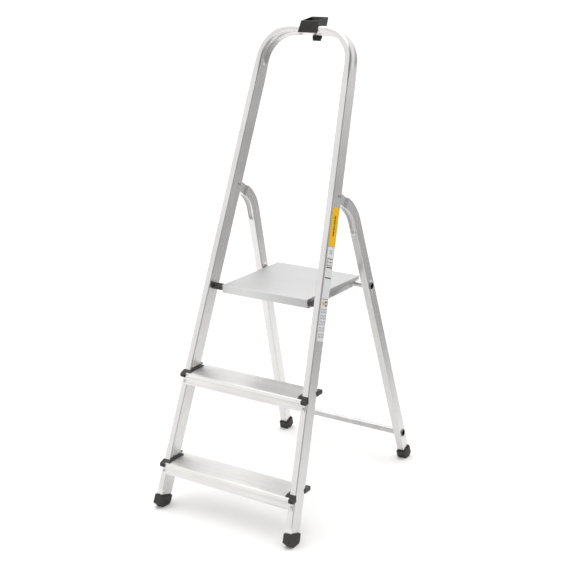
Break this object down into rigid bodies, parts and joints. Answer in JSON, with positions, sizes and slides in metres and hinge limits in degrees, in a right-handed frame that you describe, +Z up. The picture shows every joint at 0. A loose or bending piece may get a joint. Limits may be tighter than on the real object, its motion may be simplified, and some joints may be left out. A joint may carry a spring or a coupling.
{
  "type": "folding step ladder",
  "caption": "Folding household step ladder in aluminium: ribbed treads, a folding platform, a high bent handrail with a clip, and hinged rear legs on plastic feet.",
  "frame": {"origin": "on the floor, at the middle of the bounding box of the open ladder", "axes": "+Z up, -Y is the front where a person climbs, +X is the right side seen from the front"},
  "size_m": [0.435, 0.6682, 1.2618],
  "materials": {
    "handrail_aluminium": "drawn and bent tube, satin",
    "leg_aluminium": "drawn tube, satin",
    "cross_tube_aluminium": "drawn tube, satin",
    "tread_aluminium": "ribbed extrusion, satin",
    "platform_aluminium": "rolled sheet, fine grain",
    "tread_cap_plastic": "moulded, fine grain",
    "foot_plastic": "moulded, matt",
    "clip_plastic": "moulded, fine grain",
    "bush_plastic": "moulded, slightly glossy",
    "pivot_steel": "plated",
    "rivet_steel": "plated",
    "yellow_label": "printed foil",
    "silver_label": "printed foil"
  },
  "bodies": {
    "front_frame": {"front_frame_tube": "handrail_aluminium", "lower_tread": "tread_aluminium", "upper_tread": "tread_aluminium", "lower_left_tread_cap": "tread_cap_plastic", "lower_right_tread_cap": "tread_cap_plastic", "upper_left_tread_cap": "tread_cap_plastic", "upper_right_tread_cap": "tread_cap_plastic", "tread_rivets": "rivet_steel", "left_front_foot": "foot_plastic", "right_front_foot": "foot_plastic", "handrail_clip": "clip_plastic", "left_platform_bush": "bush_plastic", "right_platform_bush": "bush_plastic", "left_platform_pin": "pivot_steel", "right_platform_pin": "pivot_steel", "left_leg_rivet": "pivot_steel", "right_leg_rivet": "pivot_steel", "upper_label": "yellow_label", "lower_label": "silver_label"},
    "rear_frame": {"left_rear_leg": "leg_aluminium", "right_rear_leg": "leg_aluminium", "upper_cross_tube": "cross_tube_aluminium", "lower_cross_tube": "cross_tube_aluminium", "left_rear_foot": "foot_plastic", "right_rear_foot": "foot_plastic"},
    "platform": {"platform_tray": "platform_aluminium"}
  },
  "joints": [
    {"name": "rear_frame_fold", "type": "hinge", "parent": "front_frame", "child": "rear_frame", "pos_m": [0, -0.0143, 0.831], "axis": [-1, 0, 0], "range_deg": [0, 36]},
    {"name": "platform_fold", "type": "hinge", "parent": "front_frame", "child": "platform", "pos_m": [0, -0.1113, 0.571], "axis": [1, 0, 0], "range_deg": [0, 68.1]}
  ],
  "couplings": [
    {"joint": "platform_fold", "follows": "rear_frame_fold", "ratio": 1.89}
  ]
}
